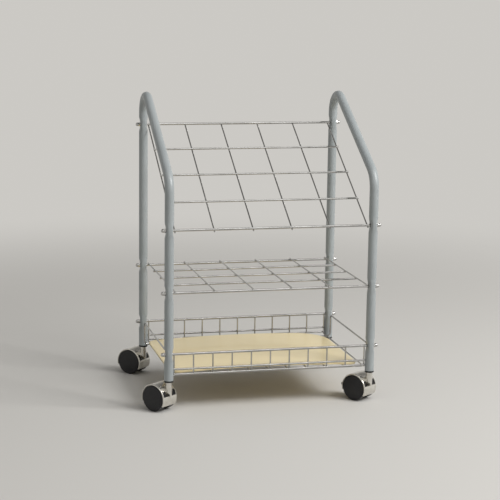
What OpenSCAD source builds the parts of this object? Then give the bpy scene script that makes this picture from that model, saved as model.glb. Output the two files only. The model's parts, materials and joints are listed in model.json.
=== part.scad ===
// Wire roll file on casters: two bent tube side frames joined by a slanted and a level wire
// grid of twenty compartments, with a wire basket and a loose base board underneath.
// The frame stands on the floor at z = 0, centred between its four legs, front towards -Y.

/* [Side frames] */
// Distance between the side frames, tube axis to tube axis
frame_w = 427; // [380:1:500]
// Distance between front and rear legs, tube axis to tube axis
frame_d = 305; // [280:1:350]
// Height over the top bends, from the floor
overall_h = 629.5; // [616:0.1:680]
// Outside diameter of the frame tube
tube_od = 19; // [18:0.5:21]
// Wall thickness of the frame tube
tube_wall = 1.2; // [1:0.1:1.5]
// Centreline radius of the bend over the rear leg
top_bend_r = 40; // [34:1:44]
// Centreline radius of the bend into the front leg
front_bend_r = 47; // [36:1:60]
// Fall of the top rail towards the front, in degrees
rail_slope = 29.6; // [26:0.2:33]
// Height of the open lower end of each leg
leg_bottom_h = 66; // [63:0.5:69]
// Depth to which the tube is flattened at a rod, on each side
crimp_depth = 2.5; // [1.5:0.1:3]
// Length of a flattened stretch of tube
crimp_len = 34; // [28:1:38]
// Length of the flat land in the middle of it
crimp_land = 12; // [11:0.5:14]

/* [Wire grids] */
// Height of the rear rod of the slanted grid
upper_rear_h = 556; // [536:1:561]
// Height of the front rod of the slanted grid
upper_front_h = 374; // [346:1:396]
// Height of the rods of the level grid
middle_h = 246; // [206:1:286]
// Diameter of the main rods that pass through the tubes
main_rod_d = 5; // [4.5:0.1:5.5]
// Diameter of the lighter rods between them
long_wire_d = 4; // [3.5:0.1:4.5]
// Diameter of the wires that run from front to rear
cross_wire_d = 3; // [2.5:0.1:3.5]
// Compartments from side to side
columns = 5; // [3:1:7]
// Compartments from front to rear
rows = 4; // [3:1:5]
// Clearance between the outermost wires and the tubes
side_gap = 0.5; // [0.3:0.1:1.5]
// Overhang of the cross wires past the main rods
cross_overhang = 0.5; // [0:0.25:4]
// Overhang of the lighter rods past the outermost cross wires
long_overhang = 1; // [0.5:0.5:3]
// Depth that welded wires sink into each other
weld_sink = 0.3; // [0.1:0.1:0.4]

/* [Basket] */
// Height of the basket's top rods
basket_h = 119.5; // [116:0.5:136]
// Height of the middle wires of its front and rear walls
basket_mid_h = 88; // [86:0.5:98]
// Height of the lowest wires of its front and rear walls
basket_low_h = 77.5; // [77:0.5:80]
// Diameter of these wall wires
basket_wire_d = 4; // [3.5:0.1:4.5]
// Number of bent ribs under and up the basket
ribs = 11; // [7:2:13]
// Diameter of a rib
rib_d = 3; // [2.5:0.1:3.5]
// Diameter of the side loops and of the wires under the ribs
loop_d = 3.5; // [3:0.1:4]
// Distance of a loop's upright from the leg axis
loop_inset = 18.5; // [16:0.5:30]
// Centreline radius of a loop's bends
loop_bend_r = 8; // [6:0.5:12]

/* [Base board] */
// Height of the top of the board
board_top_h = 80; // [79:0.5:83]
// Thickness of the board
board_t = 4; // [3:0.5:5]
// Radius of the board's corners
board_corner_r = 20; // [15:1:40]
// Radius of its rear right corner, which is cut rounder
board_cut_r = 60; // [40:1:80]
// Gap between the loose board and the left loop
board_left_gap = 4.5; // [2:0.25:8]
// Gap between the board and the right loop
board_right_gap = 20; // [10:0.5:24]
// Gap between the board and the front ribs
board_front_gap = 6; // [1.5:0.25:10]
// Gap between the board and the rear ribs
board_rear_gap = 17; // [10:0.5:24]
// Gap between the board's underside and the ribs
board_seat_gap = 0.1; // [0.1:0.1:0.3]

/* [Cap nuts] */
// Width of a nut across its flats
nut_af = 8; // [7.5:0.5:10]
// Height of a nut over its dome
nut_h = 10; // [9:0.5:12]
// Height of its six-sided part
nut_hex_h = 4; // [3:0.5:5]
// Length of rod inside a nut
nut_grip = 6; // [5:0.5:6.5]
// Radial gap round a rod in its hole
rod_gap = 0.1; // [0.05:0.05:0.3]

/* [Casters] */
// Diameter of a caster wheel
wheel_d = 53.5; // [50:0.5:55]
// Width of a wheel at its tread
wheel_w = 14; // [12:0.5:16]
// Distance of a wheel's inner face from the middle of the caster
wheel_in = 7.5; // [7.25:0.25:8.5]
// Bulge of a wheel's outer face
wheel_dome = 1.2; // [0.5:0.1:2]
// Distance of the axle behind the swivel axis
caster_offset = 25.5; // [23:0.5:28]
// Gap between the wheels and the hood round them
hood_gap = 1.2; // [0.6:0.1:1.6]
// Wall thickness of the hood
hood_wall = 2; // [1.6:0.1:2.4]
// Width over the hood
hood_w = 41; // [38:0.5:44]
// Thickness of the hood's middle web
web_t = 12.5; // [11:0.25:13.5]
// Angle by which the hood reaches below the axle on the stem side, in degrees
skirt_angle = 27; // [20:1:34]
// Angle by which its shell reaches below the axle at the nose, in degrees
nose_angle = 16; // [8:1:22]
// Diameter of the boss round the stem
boss_d = 13.5; // [13:0.25:14.5]
// Diameter of the swivel stem
stem_d = 9.5; // [9:0.1:10]
// Length of the stem inside the socket
stem_in = 26; // [20:1:28]
// Length of the socket inside the tube
socket_in = 30; // [29:1:34]
// Thickness of the socket's collar below the tube
collar_t = 3.5; // [2:0.25:4]
// Diameter of the wheel axle
axle_d = 6; // [5:0.5:7]
// Length of the wheel axle
axle_len = 35; // [32:1:37]
// Diameter of the hub round the axle
hub_d = 16; // [12:1:18]
// Gap between the hood and the collar and between hub and wheels
turn_gap = 0.3; // [0.2:0.05:0.5]
// Radial gap of a shaft that turns in its hole
run_gap = 0.05; // [0.03:0.01:0.1]
// Radial gap of a pin that is pressed into its hole
press_gap = 0.02; // [0.01:0.01:0.03]
// Heading of the front left caster's axle
front_left_turn = 218; // [0:1:359]
// Heading of the front right caster's axle
front_right_turn = 216; // [0:1:359]
// Heading of the rear left caster's axle
rear_left_turn = 226; // [0:1:359]
// Heading of the rear right caster's axle
rear_right_turn = 221; // [0:1:359]

/* [Brakes] */
// Width of a brake pedal
pedal_w = 22; // [16:1:26]
// Reach of a brake pedal from the axle
pedal_reach = 38; // [36:0.5:44]
// Width of the arm between the hood's cheeks
brake_arm_w = 8; // [6:0.5:8.5]
// Distance of the brake pin in front of the axle
brake_pin_fwd = 16; // [15:0.5:18]
// Height of the brake pin above the axle
brake_pin_up = 7; // [6:0.5:8]
// Diameter of the brake pin
brake_pin_d = 3; // [2.5:0.25:3.5]

/* [Hidden] */
$fn = 48;
// Facets of the wide, shallow hollow of a crimp
wide_fn = 240;
// Small overlap that makes a cut pass right through
cut = 1;

// Side frame outline, in the plane of the legs
rear_y = frame_d / 2;
front_y = -frame_d / 2;
top_centre = [0, rear_y - top_bend_r, overall_h - tube_od / 2 - top_bend_r];
slope_normal = [0, -sin(rail_slope), cos(rail_slope)];
slope_dir = [0, -cos(rail_slope), -sin(rail_slope)];
slope_len = (frame_d - top_bend_r - front_bend_r - (top_bend_r - front_bend_r) * sin(rail_slope))
  / cos(rail_slope);
slope_top = top_centre + top_bend_r * slope_normal;
slope_end = slope_top + slope_len * slope_dir;
front_centre = slope_end - front_bend_r * slope_normal;

// Lap of a bend into the straight tube, and how much thinner it is there
bend_lap = 0.5;
bend_step = 0.05;

// Crimps
flat_x = tube_od / 2 - crimp_depth;
crimp_r = (pow(crimp_len / 2, 2) + pow(crimp_depth, 2)) / (2 * crimp_depth);
crimps = [
  [rear_y, upper_rear_h], [rear_y, middle_h], [rear_y, basket_h],
  [front_y, upper_front_h], [front_y, middle_h], [front_y, basket_h]
];

// Grids
outer_x = frame_w / 2 - tube_od / 2 - side_gap - cross_wire_d / 2;
column_pitch = 2 * outer_x / columns;
rod_end_x = frame_w / 2 + flat_x + nut_grip;
upper_rear = [0, rear_y, upper_rear_h];
upper_front = [0, front_y, upper_front_h];
middle_rear = [0, rear_y, middle_h];
middle_front = [0, front_y, middle_h];

// Basket
outer_rib_x = frame_w / 2 - tube_od / 2 - side_gap - rib_d / 2;
rib_pitch = 2 * outer_rib_x / (ribs - 1);
rib_y = frame_d / 2 - main_rod_d / 2 - rib_d / 2 + weld_sink;
rib_bend_r = rib_d;
rib_floor_h = board_top_h - board_t - board_seat_gap - rib_d / 2;
wall_wire_y = rib_y + rib_d / 2 + basket_wire_d / 2 - weld_sink;
under_h = rib_floor_h - rib_d / 2 - loop_d / 2 + weld_sink;
loop_y = frame_d / 2 - loop_inset;
loop_x = frame_w / 2;
board_left = -frame_w / 2 + loop_d / 2 + board_left_gap;
board_right = frame_w / 2 - loop_d / 2 - board_right_gap;
board_front = -rib_y + rib_d / 2 + board_front_gap;
board_rear = rib_y - rib_d / 2 - board_rear_gap;

// Cap nuts
nut_bore_r = main_rod_d / 2 + run_gap;
nut_bore_len = nut_grip + 0.5;
nut_dome_r = (nut_af - 0.5) / 2;

// Casters
axle_h = wheel_d / 2;
hood_r = wheel_d / 2 + hood_gap + hood_wall;
rim_round = 1.2;
boss_top_h = leg_bottom_h - collar_t - turn_gap;
stem_over_axle = 15;
stem_bottom_h = axle_h + stem_over_axle;
hub_half = wheel_in - turn_gap;
wheel_edge_r = 2.2;
wheel_chamfer = 1;
window_r = 12.8;
window_x = 15;
window_centre_up = 5;
window_low = 6.5;
window_from = 18;
window_rim = 2.2;
shoulder_hole_d = 4;
shoulder_hole_edge = 6;
shoulder_hole_x = hood_w / 2 - shoulder_hole_edge;
shoulder_hole_angle = 61;
brake_slot_gap = 0.3;
brake_slot_top = 5;
brake_boss_r = 4;
brake_arm_rise = 1;
pedal_gap = 2;
pedal_t = 6;
pedal_low = -2;
pedal_round = 1.5;
pedal_inner = hood_r + pedal_gap;

// Side of the frame, front or rear row, heading of the axle, brake
CASTERS = [
  [-1, -1, front_left_turn, false],
  [1, -1, front_right_turn, true],
  [-1, 1, rear_left_turn, false],
  [1, 1, rear_right_turn, true]
];
front_left = 0;
front_right = 1;
rear_left = 2;
rear_right = 3;

chrome = [0.78, 0.77, 0.75];
tube_paint = [0.56, 0.61, 0.64];
board_cream = [0.86, 0.79, 0.62];
black_plastic = [0.1, 0.1, 0.11];
plain_steel = [0.55, 0.55, 0.56];

// Points along an arc, from angle a to angle b
function arc(centre, r, a, b, steps = 6) =
  [for (i = [0 : steps]) let (t = a + (b - a) * i / steps) centre + r * [cos(t), sin(t)]];

// Straight round bar from one point to another
module bar(from, to, d) {
  span = to - from;
  length = norm(span);
  translate(from)
    rotate([0, acos(span.z / length), atan2(span.y, span.x)])
      cylinder(h = length, d = d);
}

// Bend of round bar in the plane of Y and Z, from angle a to angle b round a centre
module bend(centre, r, d, a, b) {
  translate(centre)
    rotate([90, 0, 90])
      rotate([0, 0, a])
        rotate_extrude(angle = b - a)
          translate([r, 0])
            circle(d = d);
}

// Bend whose ends lap into straight tube of diameter d; it is a hair thinner, so that no face of
// one lies in a face of the other
module lapped_bend(centre, r, d, a, b) {
  lap = bend_lap / r * 180 / PI;
  bend(centre, r, d - 2 * bend_step, a - lap, b + lap);
}

// The frame tube's solid at one diameter; foot lengthens its open ends
module frame_run(d, foot) {
  bar([0, rear_y, leg_bottom_h - foot], [0, rear_y, top_centre.z], d);
  lapped_bend(top_centre, top_bend_r, d, 0, 90 + rail_slope);
  bar(slope_top, slope_end, d);
  lapped_bend(front_centre, front_bend_r, d, 90 + rail_slope, 180);
  bar([0, front_y, leg_bottom_h - foot], [0, front_y, front_centre.z], d);
}

// The two hollows pressed into a tube at a rod; wall moves them inwards for the bore
module crimp_pair(wall) {
  for (c = crimps, side = [-1, 1])
    translate([0, c[0], c[1]]) {
      translate([side * (flat_x + crimp_r), 0, 0])
        rotate([90, 0, 0])
          cylinder(h = tube_od + 2 * cut, r = crimp_r + wall, center = true, $fn = wide_fn);
      translate([side * (flat_x - wall + crimp_depth / 2 + cut), 0, 0])
        cube([crimp_depth + 2 * cut, tube_od + 2 * cut, crimp_land], center = true);
    }
}

// Bent steel tube of one side, flattened and drilled where the rods pass
module side_frame(side) {
  color(tube_paint)
    translate([side * frame_w / 2, 0, 0])
      difference() {
        frame_run(tube_od, 0);
        crimp_pair(0);
        difference() {
          frame_run(tube_od - 2 * tube_wall, cut);
          crimp_pair(tube_wall);
        }
        for (c = crimps)
          translate([0, c[0], c[1]])
            rotate([0, 90, 0])
              cylinder(h = tube_od + 2 * cut, r = main_rod_d / 2 + rod_gap, center = true);
      }
}

module left_side_frame() { side_frame(-1); }
module right_side_frame() { side_frame(1); }

// Front and rear rods of a grid, with ends that pass through both frames
module main_rods(rear, front) {
  color(chrome)
    for (p = [rear, front])
      bar([-rod_end_x, p.y, p.z], [rod_end_x, p.y, p.z], main_rod_d);
}

// Unit vector square to a grid, on its upper side
function grid_up(rear, front) =
  let (span = rear - front) [0, -span.z, span.y] / norm(span);

// Lighter rods between the main rods, flush with them on the side that carries the cross wires:
// the upper side where side is 1, the lower where it is -1
module long_wires(rear, front, side) {
  lift = side * grid_up(rear, front) * (main_rod_d - long_wire_d) / 2;
  half = outer_x + cross_wire_d / 2 + long_overhang;
  color(chrome)
    for (row = [1 : rows - 1]) {
      p = front + (rear - front) * row / rows + lift;
      bar([-half, p.y, p.z], [half, p.y, p.z], long_wire_d);
    }
}

// Wires from front to rear, welded to one side of the rods
module cross_wires(rear, front, side) {
  lift = side * grid_up(rear, front) * (main_rod_d / 2 + cross_wire_d / 2 - weld_sink);
  along = (rear - front) / norm(rear - front);
  reach = main_rod_d / 2 + cross_overhang;
  color(chrome)
    for (i = [0 : columns]) {
      shift = [-outer_x + i * column_pitch, 0, 0];
      bar(front + lift + shift - reach * along, rear + lift + shift + reach * along, cross_wire_d);
    }
}

module upper_grid_main_rods() { main_rods(upper_rear, upper_front); }
module upper_grid_long_wires() { long_wires(upper_rear, upper_front, -1); }
module upper_grid_cross_wires() { cross_wires(upper_rear, upper_front, -1); }
module middle_grid_main_rods() { main_rods(middle_rear, middle_front); }
module middle_grid_long_wires() { long_wires(middle_rear, middle_front, 1); }
module middle_grid_cross_wires() { cross_wires(middle_rear, middle_front, 1); }

module basket_top_rods() { main_rods([0, rear_y, basket_h], [0, front_y, basket_h]); }

// Middle and lowest wires of the basket's front and rear walls
module basket_wall_wires() {
  half = outer_rib_x + rib_d / 2;
  color(chrome)
    for (side = [-1, 1], h = [basket_mid_h, basket_low_h])
      bar([-half, side * wall_wire_y, h], [half, side * wall_wire_y, h], basket_wire_d);
}

// Ribs that run under the board and turn up at the front and rear walls
module basket_ribs() {
  turn_y = rib_y - rib_bend_r;
  turn_h = rib_floor_h + rib_bend_r;
  color(chrome)
    for (i = [0 : ribs - 1])
      translate([-outer_rib_x + i * rib_pitch, 0, 0]) {
        bar([0, -turn_y, rib_floor_h], [0, turn_y, rib_floor_h], rib_d);
        bend([0, turn_y, turn_h], rib_bend_r, rib_d, -90, 0);
        bend([0, -turn_y, turn_h], rib_bend_r, rib_d, 180, 270);
        for (side = [-1, 1])
          bar([0, side * rib_y, turn_h], [0, side * rib_y, basket_h], rib_d);
      }
}

// Two straight wires under the ribs, butt-welded to the side loops
module basket_under_wires() {
  half = loop_x - loop_bend_r;
  color(chrome)
    for (side = [-1, 1])
      bar([-half, side * loop_y, under_h], [half, side * loop_y, under_h], loop_d);
}

// Bent wire that closes one side of the basket between the legs
module side_loop(side) {
  top_y = loop_y - loop_bend_r;
  top_h = basket_h - loop_bend_r;
  foot_h = under_h + loop_bend_r;
  color(chrome)
    translate([side * loop_x, 0, 0]) {
      bar([0, -top_y, basket_h], [0, top_y, basket_h], loop_d);
      bend([0, top_y, top_h], loop_bend_r, loop_d, 0, 90);
      bend([0, -top_y, top_h], loop_bend_r, loop_d, 90, 180);
      for (end = [-1, 1]) {
        bar([0, end * loop_y, foot_h], [0, end * loop_y, top_h], loop_d);
        translate([-side * loop_bend_r, end * loop_y, foot_h])
          rotate([90, 0, 0])
            rotate([0, 0, side > 0 ? -90 : 180])
              rotate_extrude(angle = 90)
                translate([loop_bend_r, 0])
                  circle(d = loop_d);
      }
    }
}

module basket_left_loop() { side_loop(-1); }
module basket_right_loop() { side_loop(1); }

// Outline of the board: overlapping strips, and a disc in each corner
module board_outline() {
  r = board_corner_r;
  big = board_cut_r;
  w = board_right - board_left;
  d = board_rear - board_front;
  translate([board_left, board_front]) {
    translate([r, 0]) square([w - r - big, d]);
    translate([0, r]) square([w - big, d - 2 * r]);
    translate([r, 0]) square([w - 2 * r, d - big]);
    translate([0, r]) square([w, d - r - big]);
    for (p = [[r, r], [w - r, r], [r, d - r]])
      translate(p) circle(r = r);
    translate([w - big, d - big]) circle(r = big);
  }
}

// Loose board that lies on the ribs
module base_board() {
  color(board_cream)
    translate([0, 0, board_top_h - board_t])
      linear_extrude(board_t)
        board_outline();
}

// Domed nut with a blind hole, standing on its open end
module cap_nut() {
  difference() {
    union() {
      intersection() {
        cylinder(h = nut_hex_h, d = nut_af / cos(30), $fn = 6);
        cylinder(h = nut_hex_h, r1 = nut_af / 2 + nut_hex_h, r2 = nut_af / 2);
      }
      cylinder(h = nut_h - nut_dome_r, r = nut_dome_r);
      translate([0, 0, nut_h - nut_dome_r])
        sphere(r = nut_dome_r);
    }
    translate([0, 0, -cut])
      cylinder(h = nut_bore_len + cut, r = nut_bore_r);
  }
}

// The six nuts of one side, tight against the flats of the tube
module cap_nuts(side) {
  color(chrome)
    for (c = crimps)
      translate([side * (frame_w / 2 + flat_x), c[0], c[1]])
        rotate([0, side * 90, 0])
          cap_nut();
}

module left_cap_nuts() { cap_nuts(-1); }
module right_cap_nuts() { cap_nuts(1); }

// Turns a caster, modelled with its swivel axis on Z and its axle along X, into its place
module at_caster(c) {
  translate([CASTERS[c][0] * frame_w / 2, CASTERS[c][1] * frame_d / 2, 0])
    rotate([0, 0, CASTERS[c][2]])
      children();
}

// Plastic sleeve pressed into a leg, with a collar that shows below the tube
module caster_socket(c) {
  color(black_plastic)
    at_caster(c)
      difference() {
        union() {
          translate([0, 0, leg_bottom_h - collar_t])
            cylinder(h = collar_t, d = tube_od);
          translate([0, 0, leg_bottom_h - collar_t])
            cylinder(h = collar_t + socket_in, d = tube_od - 2 * tube_wall - 2 * press_gap);
        }
        translate([0, 0, leg_bottom_h - collar_t - cut])
          cylinder(h = collar_t + socket_in + 2 * cut, d = stem_d + 2 * run_gap);
      }
}

// Steel stem, pressed into the hood and free to turn in the socket
module caster_stem(c) {
  color(plain_steel)
    at_caster(c)
      translate([0, 0, stem_bottom_h])
        cylinder(h = leg_bottom_h + stem_in - stem_bottom_h, d = stem_d);
}

// Cross-section of the hood's shell: radius against distance along the axle
module hood_section() {
  half = hood_w / 2;
  inner = hood_r - hood_wall;
  outer = hood_r - rim_round;
  polygon(concat(
    [[inner, -half]],
    arc([outer, -half + rim_round], rim_round, -90, 0),
    arc([outer, half - rim_round], rim_round, 0, 90),
    [[inner, half]]
  ));
}

// Sweeps a section round the axle from under the stem side, over the top, to an angle past the
// level of the axle at the nose
module hood_sweep(past) {
  rotate([90, 0, 90])
    rotate([0, 0, -skirt_angle])
      rotate_extrude(angle = 180 + skirt_angle + past)
        children();
}

// Openings on either side of the stem boss, each a quarter arch that leans on a pointed pier
module hood_windows() {
  for (side = [0, 1])
    mirror([side, 0, 0])
      translate([0, window_from, 0])
        intersection() {
          translate([window_x, 0, window_centre_up])
            rotate([-90, 0, 0])
              cylinder(h = hood_r, r = window_r);
          translate([0, 0, window_low])
            cube([hood_w / 2 - window_rim, hood_r, window_r]);
        }
}

// Small holes in the hood's shoulders
module shoulder_holes() {
  for (side = [-1, 1])
    rotate([shoulder_hole_angle - 90, 0, 0])
      translate([side * shoulder_hole_x, 0, hood_r - hood_wall - cut])
        cylinder(h = hood_wall + 2 * cut, d = shoulder_hole_d);
}

// Room for the brake arm and its pin between two cheeks of the web
module brake_room() {
  slot_w = brake_arm_w + 2 * brake_slot_gap;
  slot_h = brake_pin_up + brake_slot_top;
  slot_in = brake_pin_fwd - brake_boss_r - brake_slot_gap;
  slot_low = -hood_r * sin(nose_angle) - cut;
  translate([-slot_w / 2, -hood_r - cut, slot_low])
    cube([slot_w, hood_r + cut - slot_in, slot_h - slot_low]);
  translate([0, -brake_pin_fwd, brake_pin_up])
    rotate([0, 90, 0])
      cylinder(h = web_t + 2 * cut, r = brake_pin_d / 2 + press_gap, center = true);
}

// Die-cast hood over both wheels, with its web, hub and stem boss in one piece
module caster_hood(c) {
  color(chrome)
    at_caster(c)
      difference() {
        translate([0, -caster_offset, axle_h])
          difference() {
            union() {
              hood_sweep(nose_angle) hood_section();
              hood_sweep(0) translate([0, -web_t / 2]) square([hood_r - hood_wall / 2, web_t]);
              rotate([0, 90, 0]) cylinder(h = 2 * hub_half, d = hub_d, center = true);
              translate([0, caster_offset, window_low])
                cylinder(h = boss_top_h - axle_h - window_low, d = boss_d);
            }
            rotate([0, 90, 0])
              cylinder(h = hood_w, r = axle_d / 2 + press_gap, center = true);
            hood_windows();
            shoulder_holes();
            if (CASTERS[c][3]) brake_room();
          }
        translate([0, 0, stem_bottom_h])
          cylinder(h = boss_top_h, r = stem_d / 2 + press_gap);
      }
}

// Steel axle pressed through the hub
module caster_axle(c) {
  color(plain_steel)
    at_caster(c)
      translate([0, -caster_offset, axle_h])
        rotate([0, 90, 0])
          cylinder(h = axle_len, d = axle_d, center = true);
}

// Half section of a wheel: radius against distance from the middle of the caster
module wheel_section() {
  r = wheel_d / 2;
  face = wheel_in + wheel_w;
  bore = axle_d / 2 + run_gap;
  bore_end = axle_len / 2 + turn_gap;
  flat_r = r - wheel_edge_r;
  dome_r = (pow(flat_r, 2) + pow(wheel_dome, 2)) / (2 * wheel_dome);
  dome_angle = asin(flat_r / dome_r);
  polygon(concat(
    [[bore, wheel_in], [bore, bore_end], [0, bore_end]],
    arc([0, face + wheel_dome - dome_r], dome_r, 90, 90 - dome_angle, 8),
    arc([flat_r, face - wheel_edge_r], wheel_edge_r, 80, 0),
    [[r, wheel_in + wheel_chamfer], [r - wheel_chamfer, wheel_in]]
  ));
}

// Moulded wheel with a blind bore and a smooth bulging face; side picks its end of the axle
module caster_wheel(c, side) {
  color(black_plastic)
    at_caster(c)
      translate([0, -caster_offset, axle_h])
        rotate([0, side * 90, 0])
          rotate_extrude()
            wheel_section();
}

// Pin that the brake pedal tips on
module brake_pin(c) {
  color(plain_steel)
    at_caster(c)
      translate([0, -caster_offset - brake_pin_fwd, axle_h + brake_pin_up])
        rotate([0, 90, 0])
          cylinder(h = web_t, d = brake_pin_d, center = true);
}

// Outline of the brake arm from its pin to the pedal, forwards along -X
module brake_arm_outline() {
  translate([-brake_pin_fwd, brake_pin_up])
    circle(r = brake_boss_r);
  polygon([
    [-brake_pin_fwd, brake_pin_up + brake_boss_r], [-brake_pin_fwd, brake_pin_up - brake_boss_r],
    [-pedal_inner, pedal_low], [-pedal_inner - pedal_gap, pedal_low],
    [-pedal_inner - pedal_gap, pedal_low + pedal_t], [-hood_r, brake_pin_up + brake_arm_rise]
  ]);
}

// Outline of the pedal plate, with rounded long edges
module pedal_outline() {
  low = pedal_low + pedal_round;
  high = pedal_low + pedal_t - pedal_round;
  near = -pedal_inner - pedal_round;
  far = -pedal_reach + pedal_round;
  polygon(concat(
    arc([near, low], pedal_round, -90, 0),
    arc([near, high], pedal_round, 0, 90),
    arc([far, high], pedal_round, 90, 180),
    arc([far, low], pedal_round, 180, 270)
  ));
}

// Moulded pedal at the nose of a braked caster
module brake_pedal(c) {
  color(black_plastic)
    at_caster(c)
      translate([0, -caster_offset, axle_h])
        rotate([90, 0, 90])
          difference() {
            union() {
              translate([0, 0, -brake_arm_w / 2])
                linear_extrude(brake_arm_w)
                  brake_arm_outline();
              translate([0, 0, -pedal_w / 2])
                linear_extrude(pedal_w)
                  pedal_outline();
            }
            translate([-brake_pin_fwd, brake_pin_up, -brake_arm_w])
              cylinder(h = 2 * brake_arm_w, r = brake_pin_d / 2 + run_gap);
          }
}

left_side_frame();
right_side_frame();
upper_grid_main_rods();
upper_grid_long_wires();
upper_grid_cross_wires();
middle_grid_main_rods();
middle_grid_long_wires();
middle_grid_cross_wires();
basket_top_rods();
basket_wall_wires();
basket_ribs();
basket_under_wires();
basket_left_loop();
basket_right_loop();
base_board();
left_cap_nuts();
right_cap_nuts();
caster_socket(front_left);  // front_left_socket
caster_stem(front_left);  // front_left_stem
caster_hood(front_left);  // front_left_hood
caster_axle(front_left);  // front_left_axle
caster_wheel(front_left, 1);  // front_left_wheel_a
caster_wheel(front_left, -1);  // front_left_wheel_b
caster_socket(front_right);  // front_right_socket
caster_stem(front_right);  // front_right_stem
caster_hood(front_right);  // front_right_hood
caster_axle(front_right);  // front_right_axle
caster_wheel(front_right, 1);  // front_right_wheel_a
caster_wheel(front_right, -1);  // front_right_wheel_b
brake_pin(front_right);  // front_right_brake_pin
brake_pedal(front_right);  // front_right_brake_pedal
caster_socket(rear_left);  // rear_left_socket
caster_stem(rear_left);  // rear_left_stem
caster_hood(rear_left);  // rear_left_hood
caster_axle(rear_left);  // rear_left_axle
caster_wheel(rear_left, 1);  // rear_left_wheel_a
caster_wheel(rear_left, -1);  // rear_left_wheel_b
caster_socket(rear_right);  // rear_right_socket
caster_stem(rear_right);  // rear_right_stem
caster_hood(rear_right);  // rear_right_hood
caster_axle(rear_right);  // rear_right_axle
caster_wheel(rear_right, 1);  // rear_right_wheel_a
caster_wheel(rear_right, -1);  // rear_right_wheel_b
brake_pin(rear_right);  // rear_right_brake_pin
brake_pedal(rear_right);  // rear_right_brake_pedal
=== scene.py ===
import json
import math

import bpy
import numpy as np
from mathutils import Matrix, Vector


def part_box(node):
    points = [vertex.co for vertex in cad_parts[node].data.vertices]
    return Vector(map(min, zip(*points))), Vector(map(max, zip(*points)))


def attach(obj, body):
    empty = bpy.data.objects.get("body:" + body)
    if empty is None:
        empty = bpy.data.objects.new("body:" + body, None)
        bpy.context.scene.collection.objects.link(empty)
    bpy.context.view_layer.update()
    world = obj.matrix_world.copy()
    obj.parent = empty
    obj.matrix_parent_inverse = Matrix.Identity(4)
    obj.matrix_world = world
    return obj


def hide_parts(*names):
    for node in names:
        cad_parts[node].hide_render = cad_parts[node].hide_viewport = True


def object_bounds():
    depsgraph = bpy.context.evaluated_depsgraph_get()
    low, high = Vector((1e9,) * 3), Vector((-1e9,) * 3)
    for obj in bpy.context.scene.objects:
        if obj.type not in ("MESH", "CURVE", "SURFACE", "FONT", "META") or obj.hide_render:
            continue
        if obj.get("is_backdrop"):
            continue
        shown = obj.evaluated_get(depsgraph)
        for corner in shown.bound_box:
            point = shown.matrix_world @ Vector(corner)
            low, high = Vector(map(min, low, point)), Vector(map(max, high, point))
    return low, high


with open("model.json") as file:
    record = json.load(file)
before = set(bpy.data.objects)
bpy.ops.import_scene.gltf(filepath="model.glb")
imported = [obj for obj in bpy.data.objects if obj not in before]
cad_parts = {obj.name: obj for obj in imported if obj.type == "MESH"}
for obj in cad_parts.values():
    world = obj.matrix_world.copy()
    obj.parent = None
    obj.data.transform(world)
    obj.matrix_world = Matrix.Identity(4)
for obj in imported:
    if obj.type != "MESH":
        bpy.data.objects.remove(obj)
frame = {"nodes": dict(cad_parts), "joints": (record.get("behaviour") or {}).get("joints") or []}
cad_low, cad_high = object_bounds()


# Side frames
# Two lengths of 19 mm steel tube, each bent over its rear leg and again into its front leg,
# pinched flat where the rods pass, drilled through the flats and powder coated blue-grey.
tube_low, tube_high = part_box("right_side_frame")
tube_r = (tube_high.x - tube_low.x) / 2
leg_x = (tube_high.x + tube_low.x) / 2
leg_y = tube_high.y - tube_r
foot_z = tube_low.z
crown_z = tube_high.z - tube_r
tube_wall = 0.0012
top_bend_r = 0.040
front_bend_r = 0.047
rail_fall = math.radians(29.6)
# A pinch is flat out to pinch_land from its rod and round again at pinch_half.
pinch_land = 0.005
pinch_half = 0.017
pinch_depth = 0.0025
pinch_bulge = 0.0008
pinch_power = 3.2
off_leg_weight = 10
rod_r = 0.0025
hole_r = 0.0027
hole_lip = 0.0020
hole_depth = 0.0024
# Rings stand this close in a pinch or bend, and one in coarse_every is kept on a plain stretch.
fine_step = 0.0009
fine_turn = math.radians(2.5)
coarse_every = 14
same_way = 1e-9
tube_sides = 64


def unit(v):
    """Each vector divided by its own length."""
    return v / np.linalg.norm(v, axis=-1, keepdims=True)


def ease(t):
    """Cubic step from 0 to 1: 3 t^2 - 2 t^3 with t held between 0 and 1."""
    t = np.clip(t, 0, 1)
    return t * t * (3 - 2 * t)


def bent_line(corners, radii, step, turn_step):
    """Points and directions along straight runs joined by arcs. A corner that turns by a with
    radius r is left r tan(a / 2) before it, and its arc is centre + r (u sin b - n cos b), b from
    0 to a, with u the way in and n the way to the centre."""
    corners = np.array(corners, float)
    ways = unit(np.diff(corners, axis=0))
    points, directions = [], []

    def run(start, end, way, last):
        count = max(1, round(float(np.linalg.norm(end - start)) / step))
        t = np.linspace(0, 1, count + 1)[: None if last else -1, None]
        points.append(start + (end - start) * t)
        directions.append(np.repeat(way[None], len(t), axis=0))

    start = corners[0]
    for corner, u, out, r in zip(corners[1:-1], ways[:-1], ways[1:], radii):
        turn = math.acos(float(np.clip(u @ out, -1, 1)))
        reach = r * math.tan(turn / 2)
        run(start, corner - reach * u, u, False)
        n = unit(out - (u @ out) * u)
        b = np.linspace(0, turn, 2 + int(turn / turn_step))[:-1, None]
        points.append(corner - reach * u + r * n + r * (u * np.sin(b) - n * np.cos(b)))
        directions.append(u * np.cos(b) + n * np.sin(b))
        start = corner + reach * out
    run(start, corners[-1], ways[-1], True)
    return np.vstack(points), np.vstack(directions)


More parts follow.
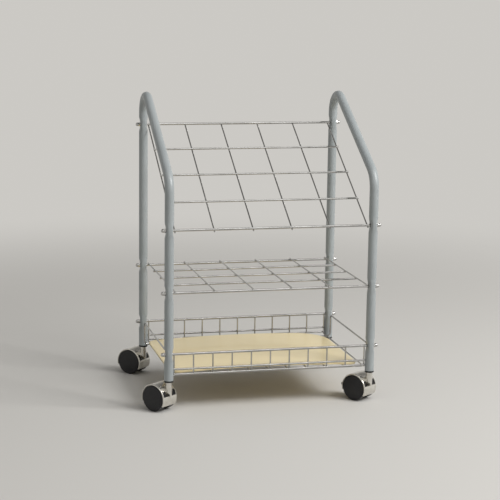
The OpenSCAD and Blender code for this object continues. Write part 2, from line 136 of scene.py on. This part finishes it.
def swept(points, directions, across, half_a, half_b, sides, power=2.0):
    """Rings carried along a line: point + a A |cos t|^(2/p) + b B |sin t|^(2/p), each with its
    sign, where a is the part of across that is square to the line and b is direction x a."""
    a = unit(across - np.sum(directions * across, axis=1, keepdims=True) * directions)
    b = np.cross(directions, a)
    t = np.linspace(0, 2 * np.pi, sides, endpoint=False)[None, :]
    power = np.broadcast_to(power, (len(points),))[:, None]
    cos_t = np.sign(np.cos(t)) * np.abs(np.cos(t)) ** (2 / power)
    sin_t = np.sign(np.sin(t)) * np.abs(np.sin(t)) ** (2 / power)
    half_a = np.broadcast_to(half_a, (len(points),))[:, None]
    half_b = np.broadcast_to(half_b, (len(points),))[:, None]
    return (
        points[:, None]
        + a[:, None] * (half_a * cos_t)[..., None]
        + b[:, None] * (half_b * sin_t)[..., None]
    )


def mesh_piece(name, grids, finish, looped=False, crease=38):
    """One object from several grids of rings. Point (i, j) joins (i, j + 1), (i + 1, j + 1) and
    (i + 1, j) in a face, and each ring closes on itself. The first and last ring are closed by a
    fan round their middle, or joined to each other where the grid is looped. Edges that turn by
    more than crease degrees stay sharp."""
    vertices, faces, base = [], [], 0
    for grid in grids:
        rings, sides = grid.shape[:2]
        index = np.arange(rings * sides).reshape(rings, sides) + base
        turned = np.roll(index, -1, axis=1)
        corners = [index, turned, np.roll(turned, -1, axis=0), np.roll(index, -1, axis=0)]
        quads = np.stack(corners, axis=-1)
        faces += quads[: None if looped else -1].reshape(-1, 4).tolist()
        vertices.append(grid.reshape(-1, 3))
        base += rings * sides
        if not looped:
            vertices.append(np.stack([grid[0].mean(axis=0), grid[-1].mean(axis=0)]))
            first = np.full(sides, base)
            faces += np.stack([first, turned[0], index[0]], axis=-1).tolist()
            faces += np.stack([first + 1, index[-1], turned[-1]], axis=-1).tolist()
            base += 2
    mesh = bpy.data.meshes.new(name)
    mesh.from_pydata(np.vstack(vertices), [], faces)
    mesh.shade_smooth()
    mesh.set_sharp_from_angle(angle=math.radians(crease))
    mesh.materials.append(finish)
    made = bpy.data.objects.new(name, mesh)
    bpy.context.scene.collection.objects.link(made)
    return made


def new_finish(name, colour, metallic, roughness, **more):
    """A material with one Principled shader; returns it, its node tree and the shader."""
    finish = bpy.data.materials.new(name)
    finish.use_nodes = True
    shader = finish.node_tree.nodes["Principled BSDF"]
    shader.inputs["Base Color"].default_value = (*colour, 1)
    shader.inputs["Metallic"].default_value = metallic
    shader.inputs["Roughness"].default_value = roughness
    for socket, value in more.items():
        shader.inputs[socket.replace("_", " ")].default_value = value
    return finish, finish.node_tree, shader


def node(tree, kind, inputs, **settings):
    """Adds a shader node; an input given as a socket is linked, any other is set."""
    made = tree.nodes.new("ShaderNode" + kind)
    for key, value in settings.items():
        setattr(made, key, value)
    for key, value in inputs.items():
        if isinstance(value, bpy.types.NodeSocket):
            tree.links.new(value, made.inputs[key])
        else:
            made.inputs[key].default_value = value
    return made


def mottle(tree, scale, detail=3.0):
    """Noise on object coordinates, with scale in turns a metre."""
    where = node(tree, "TexCoord", {}).outputs["Object"]
    noise = node(tree, "TexNoise", {"Vector": where, "Scale": scale, "Detail": detail})
    return noise.outputs["Fac"]


noise_low = 0.35
noise_high = 0.65


def vary(tree, factor, low, high):
    """Spreads the middle of a noise, from noise_low to noise_high, between two values."""
    spread = {"From Min": noise_low, "From Max": noise_high, "To Min": low, "To Max": high}
    return node(tree, "MapRange", {"Value": factor, **spread}).outputs["Result"]


def tint(tree, factor, first, second):
    """Mixes two colours by a factor. A Mix node's colours are its inputs 6 and 7, output 2."""
    mix = node(tree, "Mix", {0: factor, 6: (*first, 1), 7: (*second, 1)}, data_type="RGBA")
    return mix.outputs[2]


def clouds(tree, shader, scale, dark, light):
    """Base colour that drifts between a darker and a lighter one."""
    shade = tint(tree, vary(tree, mottle(tree, scale), 0, 1), dark, light)
    tree.links.new(shade, shader.inputs["Base Color"])


def gloss(tree, shader, scale, low, high):
    """Roughness that drifts between two values."""
    tree.links.new(vary(tree, mottle(tree, scale), low, high), shader.inputs["Roughness"])


def relief(tree, shader, scale, strength, distance, detail=1.0):
    """Bump on the shader from a noise of its own scale."""
    height = mottle(tree, scale, detail)
    bump = node(tree, "Bump", {"Height": height, "Strength": strength, "Distance": distance})
    tree.links.new(bump.outputs["Normal"], shader.inputs["Normal"])


paint_light = (0.352, 0.380, 0.384)
paint_dark = (0.322, 0.350, 0.354)
paint, tree, shader = new_finish(
    "blue_grey_powder_coat", paint_light, metallic=0.0, roughness=0.36
)
clouds(tree, shader, scale=22, dark=paint_dark, light=paint_light)
gloss(tree, shader, scale=160, low=0.31, high=0.40)
relief(tree, shader, scale=900, strength=0.10, distance=0.0004)

# Depth and height at which each rod crosses a leg. The rear rod of a pair lies at the top of the
# pair's box and the front one at its bottom.
rod_places = []
for rods in ("upper_grid_main_rods", "middle_grid_main_rods", "basket_top_rods"):
    low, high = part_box(rods)
    rod_places += [(leg_y, high.z - rod_r), (-leg_y, low.z + rod_r)]

# The rail leaves the rear bend at (slope_y, slope_z), and its line runs on to both legs' axes.
slope_y = leg_y - top_bend_r * (1 + math.sin(rail_fall))
slope_z = crown_z - top_bend_r * (1 - math.cos(rail_fall))
rail_corners = [
    (0, leg_y, foot_z),
    (0, leg_y, slope_z + (leg_y - slope_y) * math.tan(rail_fall)),
    (0, -leg_y, slope_z - (leg_y + slope_y) * math.tan(rail_fall)),
    (0, -leg_y, foot_z),
]
rail, rail_way = bent_line(rail_corners, (top_bend_r, front_bend_r), fine_step, fine_turn)

# 1 in the middle of a pinch and 0 away from it. What a point lies off its leg counts ten times.
pinch = np.zeros(len(rail))
for y, z in rod_places:
    away = np.abs(rail[:, 2] - z) + off_leg_weight * np.abs(rail[:, 1] - y)
    pinch = np.maximum(pinch, 1 - ease((away - pinch_land) / (pinch_half - pinch_land)))
turned_by = np.abs(np.diff(rail_way, axis=0, append=rail_way[-1:])).sum(axis=1)
coarse = np.arange(len(rail)) % coarse_every == 0
kept = (turned_by > same_way) | (pinch > 0) | coarse
kept[[0, -1]] = True
rail, rail_way, pinch = rail[kept], rail_way[kept], pinch[kept]

# Along the outside of the tube, then back inside it, where every second ring is enough.
outer = np.arange(len(rail))
inner = np.append(outer[:-1:2], outer[-1])[::-1]
order = np.concatenate([outer, inner])
wall = np.concatenate([np.zeros(len(outer)), np.full(len(inner), tube_wall)])
for side, name in ((-1, "left_side_frame"), (1, "right_side_frame")):
    grid = swept(
        rail[order],
        rail_way[order],
        np.array([1.0, 0, 0]),
        tube_r - wall - pinch_depth * pinch[order],
        tube_r - wall + pinch_bulge * pinch[order],
        tube_sides,
        2 + (pinch_power - 2) * pinch[order],
    )
    # The face towards the wires is pressed in round each hole.
    for y, z in rod_places:
        away = np.hypot(grid[..., 1] - y, grid[..., 2] - z)
        dent = hole_depth * (1 - ease((away - hole_r) / hole_lip))
        grid[..., 0] += side * dent * (side * grid[..., 0] < 0)
    grid[..., 0] += side * leg_x
    made = mesh_piece(name + "_tube", [grid], paint, looped=True)
    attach(made, "frame")
    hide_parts(name)


# Slanted and level grids
# Each has two 5 mm rods whose threaded ends pass through the frames, three 4 mm rods between
# them and six 3 mm wires spot-welded across them, on top of the level grid and under the slanted
# one; all of it is bright plated.
light_rod_r = 0.002
cross_wire_r = 0.0015
rows = 4
columns = 5
end_bevel = 0.15
bar_sides = 24
weld_spread = 0.0017
weld_height = 0.0007
weld_turn = 75
weld_rings = 5
weld_sides = 10
# A direction that no bar has, from which the points of a ring are counted.
skew = np.array([0.35, 0.55, 0.75])


def rod(points, directions, r, sides=bar_sides):
    """Rings of round bar along a line, with a bevel at both cut ends: the radius rises from
    r (1 - e) to r over a length of r e, where e is end_bevel."""
    bevel = end_bevel * r
    first = [points[:1], points[:1] + bevel * directions[:1]]
    last = [points[-1:] - bevel * directions[-1:], points[-1:]]
    points = np.vstack([*first, points[1:-1], *last])
    directions = np.vstack([directions[:1], directions, directions[-1:]])
    radius = np.full(len(points), r)
    radius[[0, -1]] -= bevel
    return swept(points, directions, skew, radius, radius, sides)


def straight(start, end, r):
    """Rings of a straight bar between two points."""
    ends = np.array([start, end], float)
    way = unit(ends[1] - ends[0])
    return rod(ends, np.array([way, way]), r)


def side_to_side(low_x, high_x, places, r):
    """Rings of straight bars from low_x to high_x, one at each place (y, z)."""
    return [straight((low_x, y, z), (high_x, y, z), r) for y, z in places]


def weld(at, up):
    """Rings of a low bead: at + up h sin a, with a circle of radius s cos a round it."""
    a = np.radians(np.linspace(-weld_turn, weld_turn, weld_rings))
    middle = np.array(at) + np.outer(weld_height * np.sin(a), up)
    ways = np.repeat(np.array(up, float)[None], len(a), axis=0)
    return swept(middle, ways, skew, weld_spread * np.cos(a), weld_spread * np.cos(a), weld_sides)


def on_frame(made, slot, *nodes):
    """The piece rides on the frame and stands for some CAD nodes. Its slot is not used."""
    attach(made, "frame")
    if nodes:
        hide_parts(*nodes)


wire_light = (0.50, 0.495, 0.485)
wire_dark = (0.38, 0.375, 0.365)
plated, tree, shader = new_finish("bright_plated_wire", wire_light, metallic=1.0, roughness=0.12)
clouds(tree, shader, scale=35, dark=wire_dark, light=wire_light)
gloss(tree, shader, scale=300, low=0.08, high=0.18)
relief(tree, shader, scale=60, strength=0.25, distance=0.0012)


def plated_wire(name, grids, *nodes):
    """A piece of bright plated wire on the frame, in place of some CAD nodes."""
    on_frame(mesh_piece(name, grids, plated), "wire_chrome", *nodes)


for grid_name, side in (("upper_grid", -1), ("middle_grid", 1)):
    low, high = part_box(grid_name + "_main_rods")
    front = np.array([0, low.y + rod_r, low.z + rod_r])
    rear = np.array([0, high.y - rod_r, high.z - rod_r])
    along = unit(rear - front)
    wire_side = side * np.array([0, -along[2], along[1]])
    grids = side_to_side(low.x, high.x, (front[1:], rear[1:]), rod_r)
    plated_wire(grid_name + "_threaded_rods", grids, grid_name + "_main_rods")

    # The lighter rods lie level with the main ones on the side that the wires are welded to.
    low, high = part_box(grid_name + "_long_wires")
    crossings = [front + (rear - front) * row / rows for row in range(rows + 1)]
    lift = wire_side * (rod_r - light_rod_r)
    places = [(p + lift)[1:] for p in crossings[1:-1]]
    grids = side_to_side(low.x, high.x, places, light_rod_r)
    plated_wire(grid_name + "_light_rods", grids, grid_name + "_long_wires")

    low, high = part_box(grid_name + "_cross_wires")
    middle = (np.array(low) + np.array(high)) / 2
    half_run = along * ((high.y - low.y) / 2 - cross_wire_r * abs(wire_side[1])) / along[1]
    wire_x = np.linspace(low.x + cross_wire_r, high.x - cross_wire_r, columns + 1)
    places = [middle + [x, 0, 0] for x in wire_x]
    grids = [straight(p - half_run, p + half_run, cross_wire_r) for p in places]
    plated_wire(grid_name + "_wires", grids, grid_name + "_cross_wires")

    beads = [p + wire_side * rod_r for p in crossings]
    grids = [weld(p + [x, 0, 0], wire_side) for p in beads for x in wire_x]
    plated_wire(grid_name + "_welds", grids)


# Cap nuts
# Plated steel acorn nuts, 8 mm across the flats, screwed on the rods' ends against the pinched
# tube. Their foot and shoulders are turned, and a neck leads to the dome.
nut_flat = 0.004
nut_dome_r = 0.00375
nut_h = 0.010
nut_dome_turn = 84
nut_dome_rings = 9
nut_sides = 48
no_limit = 1
# Height over the seat, and the radius that the turning leaves there.
nut_turning = [
    (0, 0.0041),
    (0.0003, no_limit),
    (0.0012, no_limit),
    (0.0030, no_limit),
    (0.0034, 0.0046),
    (0.0037, 0.0043),
    (0.0040, 0.0040),
    (0.0041, nut_dome_r),
    (0.0052, nut_dome_r),
]


def acorn_nut(seat, way):
    """Rings along the nut's axis. The radius is the smaller of a hexagon's, flat / cos of the
    angle from the middle of a side, and a round limit: bevels on the hexagon, a short neck, and
    a dome of radius r, which is r cos a wide at height h - r + r sin a."""
    a = np.radians(np.linspace(0, nut_dome_turn, nut_dome_rings))
    dome_h = nut_h - nut_dome_r
    base_h, base_r = np.array(nut_turning, float).T
    height = np.concatenate([base_h, dome_h + nut_dome_r * np.sin(a)])
    limit = np.concatenate([base_r, nut_dome_r * np.cos(a)])
    t = np.linspace(0, 2 * np.pi, nut_sides, endpoint=False)
    hexagon = nut_flat / np.cos((t + np.pi / 6) % (np.pi / 3) - np.pi / 6)
    points = np.array(seat) + np.outer(height, way)
    ways = np.repeat(np.array(way, float)[None], len(points), axis=0)
    circle = swept(points, ways, np.array([0, 0, 1.0]), 1.0, 1.0, nut_sides) - points[:, None]
    return points[:, None] + circle * np.minimum(hexagon[None], limit[:, None])[..., None]


nut_colour = (0.50, 0.495, 0.485)
nut_finish, tree, shader = new_finish("plated_nut", nut_colour, metallic=1.0, roughness=0.10)
gloss(tree, shader, scale=500, low=0.08, high=0.16)
for side, name in ((-1, "left_cap_nuts"), (1, "right_cap_nuts")):
    seat_x = side * (leg_x + tube_r - pinch_depth)
    grids = [acorn_nut((seat_x, y, z), (side, 0, 0)) for y, z in rod_places]
    made = mesh_piece(name.replace("cap", "acorn"), grids, nut_finish, crease=25)
    on_frame(made, "nut_chrome", name)


# Basket
# Welded wire: two 5 mm rods, four 4 mm wall wires, eleven 3 mm ribs bent up at the front and
# rear, two wires under the ribs and a bent loop between the legs on each side; plated like the
# grids.
wall_wire_r = 0.002
ribs = 11
rib_r = 0.0015
rib_bend_r = 0.003
rib_sides = 16
loop_r = 0.00175
loop_bend_r = 0.008
loop_joint = 0.003
long_step = 0.02
turn_step = math.radians(9)

low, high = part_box("basket_top_rods")
basket_z = high.z - rod_r
places = [(y, basket_z) for y in (-leg_y, leg_y)]
grids = side_to_side(low.x, high.x, places, rod_r)
plated_wire("basket_threaded_rods", grids, "basket_top_rods")

low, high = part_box("basket_wall_wires")
wall_y = high.y - wall_wire_r
wall_z = (low.z + wall_wire_r, high.z - wall_wire_r)
places = [(y, z) for y in (-wall_y, wall_y) for z in wall_z]
grids = side_to_side(low.x, high.x, places, wall_wire_r)
plated_wire("basket_walls", grids, "basket_wall_wires")

low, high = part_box("basket_ribs")
rib_y = high.y - rib_r
rib_z = low.z + rib_r
rib_x = np.linspace(low.x + rib_r, high.x - rib_r, ribs)
corners = [(0, -rib_y, high.z), (0, -rib_y, rib_z), (0, rib_y, rib_z), (0, rib_y, high.z)]
line, way = bent_line(corners, (rib_bend_r, rib_bend_r), long_step, turn_step)
grids = [rod(line + [x, 0, 0], way, rib_r, rib_sides) for x in rib_x]
plated_wire("basket_rib_wires", grids, "basket_ribs")

# The wires under the ribs end where the loops' feet begin.
low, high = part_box("basket_right_loop")
loop_x = high.x - loop_r
loop_y = high.y - loop_r
under_z = low.z + loop_r
joint_x = loop_x - loop_bend_r - loop_joint
places = [(y, under_z) for y in (-loop_y, loop_y)]
grids = side_to_side(-joint_x, joint_x, places, loop_r)
plated_wire("basket_runners", grids, "basket_under_wires")

for side, name in ((-1, "basket_left_loop"), (1, "basket_right_loop")):
    x = side * loop_x
    corners = [(side * joint_x, -loop_y, under_z), (x, -loop_y, under_z), (x, -loop_y, basket_z)]
    corners += [(x, loop_y, basket_z), (x, loop_y, under_z), (side * joint_x, loop_y, under_z)]
    line, way = bent_line(corners, (loop_bend_r,) * 4, long_step, turn_step)
    plated_wire(name + "_wire", [rod(line, way, loop_r)], name)

grids = []
for end in (-1, 1):
    places = [(x, end * (rib_y + rib_r), z) for x in rib_x for z in (basket_z, *wall_z)]
    grids += [weld(at, (0, end, 0)) for at in places]
    grids += [weld((x, end * loop_y, rib_z - rib_r), (0, 0, 1)) for x in rib_x]
plated_wire("basket_welds", grids)


# Base board
# One loose sheet of 4 mm fibreboard with a glossy cream coating. It lies on the ribs, a little
# to the left, bowed up by 6 mm along its middle, and its rear right corner is cut rounder than
# the others.
board_bow = 0.006
board_edge = 0.0007
corner_radii = (0.060, 0.020, 0.020, 0.020)
corner_steps = 16
edge_steps = 26
rim_steps = 6
board_rings = 24
hub_share = 0.02
board_low, board_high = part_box("base_board")
board_mid = np.array(board_low + board_high) / 2
half_w, half_d = (np.array(board_high - board_low) / 2)[:2]

# The outline, from the rear right corner round to the left, with the level way out at each
# point. An arc's point is its centre + r (cos a, sin a), and straight edges join the arcs.
arcs, ways = [], []
for turn, r in enumerate(corner_radii):
    a = np.radians(90 * turn + np.linspace(0, 90, corner_steps))[:, None]
    ways.append(np.hstack([np.cos(a), np.sin(a)]))
    quarter = np.sign(ways[-1][corner_steps // 2])
    arcs.append(quarter * (half_w - r, half_d - r) + r * ways[-1])
outline, square = [], []
for turn in range(4):
    edge = np.linspace(arcs[turn][-1], arcs[(turn + 1) % 4][0], edge_steps)[1:-1]
    outline += [arcs[turn], edge]
    square += [ways[turn], np.repeat(ways[turn][-1:], len(edge), axis=0)]
outline, square = np.vstack(outline), np.vstack(square)

# Each face is the outline shrunk by a share, and the rim between them is rounded by board_edge.
# Then a point at x rises by bow (1 - (x / half width)^2).
share = np.linspace(hub_share, 1, board_rings)[:, None, None]
plate = share * (outline - board_edge * square)
a = np.radians(np.linspace(0, 90, rim_steps))[1:, None, None]
rim = outline - board_edge * (1 - np.sin(a)) * square
rim_drop = board_edge * (1 - np.cos(a)) * np.ones(len(outline))[None, :, None]
level = np.ones((board_rings, len(outline), 1))
under = np.dstack([plate, board_low.z * level])
under_rim = np.dstack([rim, board_low.z + rim_drop])
over_rim = np.dstack([rim, board_high.z - rim_drop])[::-1]
over = np.dstack([plate, board_high.z * level])[::-1]
grid = np.concatenate([under, under_rim, over_rim, over])
grid[..., 2] += board_bow * (1 - (grid[..., 0] / half_w) ** 2)
grid[..., :2] += board_mid[:2]

cream_light = (0.86, 0.72, 0.42)
cream_dark = (0.84, 0.70, 0.405)
cream, tree, shader = new_finish(
    "cream_coated_board",
    cream_light,
    metallic=0.0,
    roughness=0.34,
    Coat_Weight=0.35,
    Coat_Roughness=0.05,
)
clouds(tree, shader, scale=9, dark=cream_dark, light=cream_light)
gloss(tree, shader, scale=60, low=0.31, high=0.36)
relief(tree, shader, scale=14, strength=0.04, distance=0.0006)
on_frame(mesh_piece("bowed_base_board", [grid], cream), "board", "base_board")


# Caster sockets
# Sleeves moulded in black plastic and pressed into the open ends of the legs, each with a collar
# 3.5 mm thick that shows below the tube.
black_light = (0.009, 0.009, 0.011)
black_dark = (0.005, 0.005, 0.006)
black_specular = 0.42
black_gloss_spread = 0.05


def black_plastic(name, roughness):
    """Moulded black plastic with faint colour and gloss variation and a fine mould grain."""
    finish, tree, shader = new_finish(
        name, black_light, metallic=0.0, roughness=roughness, Specular_IOR_Level=black_specular
    )
    clouds(tree, shader, scale=120, dark=black_dark, light=black_light)
    low, high = roughness - black_gloss_spread, roughness + black_gloss_spread
    gloss(tree, shader, scale=240, low=low, high=high)
    relief(tree, shader, scale=2200, strength=0.12, distance=0.0002, detail=2.0)
    return finish


def dress(names, finish):
    """Gives carried-over CAD nodes a finish of this scene."""
    for name in names:
        for slot in frame["nodes"][name].material_slots:
            slot.material = finish


casters = ("front_left", "front_right", "rear_left", "rear_right")
socket_black = black_plastic("socket_plastic_black", roughness=0.45)
dress([c + "_socket" for c in casters], socket_black)


# Caster stems, axles and brake pins
# Plain turned steel, mostly hidden. A stem is pressed into its hood and turns in the socket, and
# axles and brake pins are pressed into the hood.
braked = ("front_right", "rear_right")
steel_colour = (0.50, 0.50, 0.50)
steel, tree, shader = new_finish("turned_steel", steel_colour, metallic=1.0, roughness=0.30)
gloss(tree, shader, scale=900, low=0.24, high=0.38)
dress([c + part for c in casters for part in ("_stem", "_axle")], steel)
dress([c + "_brake_pin" for c in braked], steel)


# Caster hoods
# Die-cast zinc, chrome plated: a round shell over both wheels with a web, a hub, a boss for the
# stem, a window on each side of the boss and a small hole in each shoulder.
hood_light = (0.74, 0.72, 0.67)
hood_dark = (0.62, 0.60, 0.55)
casting, tree, shader = new_finish("plated_casting", hood_light, metallic=0.80, roughness=0.14)
clouds(tree, shader, scale=90, dark=hood_dark, light=hood_light)
gloss(tree, shader, scale=300, low=0.09, high=0.19)
relief(tree, shader, scale=200, strength=0.16, distance=0.0010)
dress([c + "_hood" for c in casters], casting)


# Caster wheels
# Two to a caster, moulded in black nylon, with a smooth bulging face, a rounded tread edge and a
# blind bore that turns on the axle.
wheel_r = 0.02675
wheel_in = 0.0075
wheel_w = 0.014
wheel_dome = 0.0012
wheel_chamfer = 0.001
edge_r = 0.0022
edge_turn = 80
edge_rings = 8
bore_r = 0.00305
bore_end = 0.0178
bore_chamfer = 0.0006
pole_r = 0.0004
groove_r = 0.0222
groove_half = 0.0007
groove_depth = 0.0004
groove_margin = 0.001
# Rings of the face outside its groove, across the groove and inside it.
outside_rings, groove_rings, inside_rings = 4, 9, 14
wheel_sides = 96


def caster_wheel(middle, way, end):
    """Rings round the axle: up the blind bore's wall, across the inner face, over the tread and
    its rounded edge, and in over a face that is a ball's cap, of radius (f^2 + d^2) / (2 d) for
    a dome d over a flat radius f, with one shallow round groove."""
    flat_r = wheel_r - edge_r
    face = wheel_in + wheel_w
    ball_r = (flat_r**2 + wheel_dome**2) / (2 * wheel_dome)
    a = np.radians(np.linspace(0, edge_turn, edge_rings))
    edge = np.stack([flat_r + edge_r * np.cos(a), face - edge_r * (1 - np.sin(a))], 1)
    outside = np.linspace(flat_r, groove_r + groove_margin, outside_rings)
    groove = groove_r + groove_half * np.linspace(1, -1, groove_rings)
    inside = np.linspace(groove_r - groove_margin, pole_r, inside_rings)
    r = np.concatenate([outside, groove, inside])
    cap = face + wheel_dome - ball_r + np.sqrt(ball_r**2 - r**2)
    cap -= groove_depth * (1 - ease(np.abs(r - groove_r) / groove_half))
    bore = [(pole_r, bore_end), (bore_r, bore_end)]
    bore += [(bore_r, wheel_in + bore_chamfer), (bore_r + bore_chamfer, wheel_in)]
    inner = [(wheel_r - wheel_chamfer, wheel_in), (wheel_r, wheel_in + wheel_chamfer)]
    profile = np.vstack([bore, inner, edge, np.stack([r, cap], 1)])
    ways = np.repeat((end * way)[None], len(profile), axis=0)
    points = middle + profile[:, 1:] * ways
    return swept(points, ways, np.array([0, 0, 1.0]), profile[:, 0], profile[:, 0], wheel_sides)


wheel_black = black_plastic("wheel_nylon_black", roughness=0.34)
joints = {joint["name"]: joint for joint in frame["joints"]}
for c in casters:
    for end, letter in ((1, "a"), (-1, "b")):
        spin = joints[f"{c}_wheel_{letter}_spin"]
        grid = caster_wheel(np.array(spin["pos_m"]), np.array(spin["axis"], float), end)
        made = mesh_piece(f"{c}_wheel_{letter}_moulding", [grid], wheel_black, crease=30)
        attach(made, f"{c}_wheel_{letter}")
        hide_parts(f"{c}_wheel_{letter}")


# Brake pedals
# Moulded in black plastic, at the noses of the two right-hand casters. A pedal's arm sits in a
# slot of the hood's web and tips on the brake pin.
pedal_black = black_plastic("pedal_plastic_black", roughness=0.42)
dress([c + "_brake_pedal" for c in braked], pedal_black)


# Studio
# A plain pale floor, soft lamps and a pale surround, seen from where the photograph was taken.
# To the camera and in reflections, the floor fades into the surround far from the object.
floor_half = 30.0
fade_start = 0.9
fade_end = 2.4
surround = (0.60, 0.585, 0.555)
floor_roughness = 0.9
ambient = 0.34
ambient_tone = (1, 0.99, 0.97, 1)
# A dimmer patch of the surround, round a direction high up behind the object: the cosine of the
# angle from it where the patch starts, and where it is full.
dim = (0.17, 0.165, 0.16)
dim_way = (0, 0.5, 0.866)
dim_start = 0.66
dim_full = 0.86
camera_place = (-0.7783, -3.1241, 0.8916)
camera_turn = (79.597, -0.774, -13.677)
lens_mm = 110.63
sensor_mm = 36


def background_rays(tree):
    """1 for a ray from the camera, off a glossy surface or through a clear one; otherwise 0."""
    path = node(tree, "LightPath", {}).outputs
    seen = path["Is Camera Ray"]
    for kind in ("Is Glossy Ray", "Is Transmission Ray"):
        seen = node(tree, "Math", {0: seen, 1: path[kind]}, operation="MAXIMUM").outputs[0]
    return seen


def smooth_rise(tree, value, start, end):
    """0 up to start and 1 from end on, with a smooth rise between them."""
    spread = {"Value": value, "From Min": start, "From Max": end}
    rise = node(tree, "MapRange", spread, interpolation_type="SMOOTHSTEP")
    return rise.outputs["Result"]


mesh = bpy.data.meshes.new("floor")
corners = np.array([(-1, -1, 0), (1, -1, 0), (1, 1, 0), (-1, 1, 0)], float) * floor_half
mesh.from_pydata(corners, [], [(0, 1, 2, 3)])
floor = bpy.data.objects.new("floor", mesh)
bpy.context.scene.collection.objects.link(floor)
floor_finish, tree, shader = new_finish(
    "pale_floor", surround, metallic=0.0, roughness=floor_roughness
)
mesh.materials.append(floor_finish)
floor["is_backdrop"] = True
seen = background_rays(tree)
where = node(tree, "TexCoord", {}).outputs["Object"]
far = node(tree, "VectorMath", {0: where}, operation="LENGTH").outputs["Value"]
far = smooth_rise(tree, far, fade_start, fade_end)
far = node(tree, "Math", {0: far, 1: seen}, operation="MULTIPLY").outputs[0]
pale = node(tree, "Emission", {"Color": (*surround, 1), "Strength": 1.0}).outputs[0]
both = node(tree, "MixShader", {0: far, 1: shader.outputs[0], 2: pale}).outputs[0]
tree.links.new(both, tree.nodes["Material Output"].inputs["Surface"])

world = bpy.data.worlds.new("surround")
bpy.context.scene.world = world
world.use_nodes = True
tree = world.node_tree
tree.nodes.clear()
seen = background_rays(tree)
light = node(tree, "Background", {"Color": ambient_tone, "Strength": ambient}).outputs[0]
where = node(tree, "TexCoord", {}).outputs["Generated"]
rise = node(tree, "VectorMath", {0: where, 1: dim_way}, operation="DOT_PRODUCT").outputs["Value"]
shade = tint(tree, smooth_rise(tree, rise, dim_start, dim_full), surround, dim)
pale = node(tree, "Background", {"Color": shade, "Strength": 1.0}).outputs[0]
both = node(tree, "MixShader", {0: seen, 1: light, 2: pale}).outputs[0]
node(tree, "OutputWorld", {"Surface": both})


def soft_lamp(name, place, size, watts):
    """A square area lamp aimed at the middle of the object."""
    lamp = bpy.data.lights.new(name, "AREA")
    lamp.size = size
    lamp.energy = watts
    made = bpy.data.objects.new(name, lamp)
    made.location = place
    aim = (cad_low + cad_high) / 2 - made.location
    made.rotation_euler = aim.to_track_quat("-Z", "Y").to_euler()
    bpy.context.scene.collection.objects.link(made)


soft_lamp("key_lamp", place=(2.6, -2.0, 2.9), size=1.6, watts=142)
soft_lamp("top_lamp", place=(0.8, -1.4, 3.4), size=1.2, watts=18)

camera = bpy.data.cameras.new("camera")
camera.sensor_width = sensor_mm
camera.lens = lens_mm
eye = bpy.data.objects.new("camera", camera)
eye.location = camera_place
eye.rotation_euler = [math.radians(angle) for angle in camera_turn]
bpy.context.scene.collection.objects.link(eye)
bpy.context.scene.camera = eye
bpy.context.scene.view_settings.view_transform = "Standard"

low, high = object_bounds()
